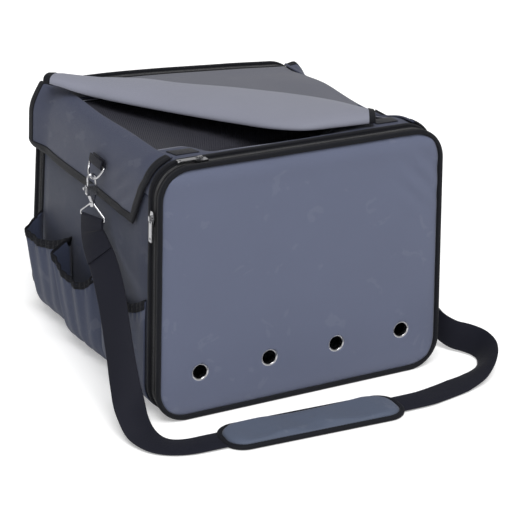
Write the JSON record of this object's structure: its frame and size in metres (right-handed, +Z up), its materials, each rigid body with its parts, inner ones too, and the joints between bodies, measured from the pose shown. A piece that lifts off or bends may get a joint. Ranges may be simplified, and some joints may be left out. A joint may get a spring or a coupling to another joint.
{
  "type": "pet car seat bag",
  "caption": "Soft pet car seat bag with zip-around ends, mesh roof, folded cover flap, side pockets and a clip-on shoulder strap.",
  "frame": {"origin": "on the floor under the middle of the bag, without its strap", "axes": "+Z up; -Y towards the front panel with the eyelets; +X towards the bag's left-hand side as it faces you, at the right of the picture"},
  "size_m": [0.5202, 0.5431, 0.3413],
  "materials": {
    "side_nylon": "coated nylon oxford, mid grey, slightly sheeny",
    "base_nylon": "coarse coated nylon, dark grey",
    "roof_nylon": "coated nylon oxford, grey",
    "saddle_nylon": "padded nylon oxford, dark blue-grey",
    "panel_nylon": "padded nylon oxford, blue-grey",
    "flap_nylon": "soft nylon, light grey",
    "pocket_nylon": "thin gathered nylon, dark grey",
    "black_binding": "black grosgrain binding",
    "black_piping": "black ribbed binding over a cord",
    "black_mesh": "black polyester mesh",
    "zip_tape": "black woven zip tape",
    "zip_coil": "black nylon coil",
    "hook_tape": "black hook tape",
    "board": "black stiffening board",
    "cushion_fleece": "grey fleece",
    "webbing": "dark grey-blue nylon webbing",
    "pad_nylon": "padded nylon, blue-grey",
    "eyelet_metal": "bright nickel plate",
    "zip_metal": "nickel-plated zinc",
    "hardware_metal": "nickel-plated zinc and steel"
  },
  "bodies": {
    "bag": {"back_body_piping": "black_piping", "back_body_zip_coil": "zip_coil", "back_body_zip_tape": "zip_tape", "base_board": "board", "bottom_panel": "base_nylon", "floor_cushion": "cushion_fleece", "front_body_piping": "black_piping", "front_body_zip_coil": "zip_coil", "front_body_zip_tape": "zip_tape", "left_hook_eye": "hardware_metal", "left_pocket_binding": "black_binding", "left_pocket_panel": "pocket_nylon", "left_ring_tab": "webbing", "left_saddle_binding": "black_binding", "left_saddle_flap": "saddle_nylon", "left_side_panel": "side_nylon", "mesh_window": "black_mesh", "right_hook_eye": "hardware_metal", "right_pocket_binding": "black_binding", "right_pocket_panel": "pocket_nylon", "right_ring_tab": "webbing", "right_saddle_binding": "black_binding", "right_saddle_flap": "saddle_nylon", "right_side_panel": "side_nylon", "roof_panel": "roof_nylon", "shoulder_strap": "webbing", "strap_adjuster": "hardware_metal", "velcro_patches": "hook_tape", "window_hem": "black_binding"},
    "front_door": {"front_door_piping": "black_piping", "front_door_zip_tape": "zip_tape", "front_door_zip_coil": "zip_coil", "front_door_panel": "panel_nylon", "eyelets": "eyelet_metal", "eyelet_washers": "eyelet_metal"},
    "back_door": {"back_door_piping": "black_piping", "back_door_zip_tape": "zip_tape", "back_door_zip_coil": "zip_coil", "back_door_panel": "panel_nylon"},
    "cover_flap": {"cover_flap": "flap_nylon", "cover_flap_binding": "black_binding"},
    "front_side_slider": {"front_side_slider": "zip_metal"},
    "front_side_pull": {"front_side_pull": "zip_metal"},
    "front_top_slider": {"front_top_slider": "zip_metal"},
    "front_top_pull": {"front_top_pull": "zip_metal"},
    "back_slider": {"back_slider": "zip_metal"},
    "back_pull": {"back_pull": "zip_metal"},
    "left_d_ring": {"left_d_ring": "hardware_metal"},
    "right_d_ring": {"right_d_ring": "hardware_metal"},
    "left_hook": {"left_hook_body": "hardware_metal"},
    "right_hook": {"right_hook_body": "hardware_metal"},
    "left_bolt": {"left_hook_bolt": "hardware_metal"},
    "right_bolt": {"right_hook_bolt": "hardware_metal"},
    "shoulder_pad": {"shoulder_pad": "pad_nylon", "shoulder_pad_binding": "black_binding"}
  },
  "joints": [
    {"name": "front_door_hinge", "type": "hinge", "parent": "bag", "child": "front_door", "pos_m": [0, -0.216, 0], "axis": [1, 0, 0], "range_deg": [0, 72]},
    {"name": "back_door_hinge", "type": "hinge", "parent": "bag", "child": "back_door", "pos_m": [0, 0.216, 0], "axis": [-1, 0, 0], "range_deg": [0, 90]},
    {"name": "cover_flap_hinge", "type": "hinge", "parent": "bag", "child": "cover_flap", "pos_m": [0, 0.142, 0.3283], "axis": [-1, 0, 0], "range_deg": [0, 95]},
    {"name": "front_side_slide", "type": "slide", "parent": "bag", "child": "front_side_slider", "axis": [-0.0246, 0, -0.9997], "range_m": [0, 0.19]},
    {"name": "front_side_pull_hinge", "type": "hinge", "parent": "front_side_slider", "child": "front_side_pull", "pos_m": [-0.19515, -0.20025, 0.26209], "axis": [0, 1, 0], "range_deg": [0, 150]},
    {"name": "front_top_slide", "type": "slide", "parent": "bag", "child": "front_top_slider", "axis": [1, 0, 0], "range_m": [0, 0.27]},
    {"name": "front_top_pull_hinge", "type": "hinge", "parent": "front_top_slider", "child": "front_top_pull", "pos_m": [-0.132, -0.20025, 0.3266], "axis": [0, 1, 0], "range_deg": [0, 150]},
    {"name": "back_slide", "type": "slide", "parent": "bag", "child": "back_slider", "axis": [0.0244, 0.1221, -0.9922], "range_m": [0, 0.13]},
    {"name": "back_pull_hinge", "type": "hinge", "parent": "back_slider", "child": "back_pull", "pos_m": [0.19677, 0.17601, 0.19609], "axis": [0.003, -0.9925, -0.1221], "range_deg": [0, 150]},
    {"name": "left_ring_hinge", "type": "hinge", "parent": "bag", "child": "left_d_ring", "pos_m": [-0.20013, -0.052, 0.283], "axis": [0, 1, 0], "range_deg": [-1.5, 1.5]},
    {"name": "left_hook_swivel", "type": "hinge", "parent": "bag", "child": "left_hook", "pos_m": [-0.20804, -0.052, 0.23], "axis": [0, 0, 1], "range_deg": [-15, 15]},
    {"name": "left_bolt_slide", "type": "slide", "parent": "left_hook", "child": "left_bolt", "axis": [0, 0, -1], "range_m": [0, 0.0045], "stiffness_N_per_m": 400, "springref_m": -0.002},
    {"name": "right_ring_hinge", "type": "hinge", "parent": "bag", "child": "right_d_ring", "pos_m": [0.20013, -0.052, 0.283], "axis": [0, 1, 0], "range_deg": [-1.5, 1.5]},
    {"name": "right_hook_swivel", "type": "hinge", "parent": "bag", "child": "right_hook", "pos_m": [0.20804, -0.052, 0.23], "axis": [0, 0, 1], "range_deg": [-15, 15]},
    {"name": "right_bolt_slide", "type": "slide", "parent": "right_hook", "child": "right_bolt", "axis": [0, 0, -1], "range_m": [0, 0.0045], "stiffness_N_per_m": 400, "springref_m": -0.002},
    {"name": "pad_slide", "type": "slide", "parent": "bag", "child": "shoulder_pad", "axis": [0.9985, -0.0541, 0], "range_m": [-0.01, 0.01]}
  ]
}
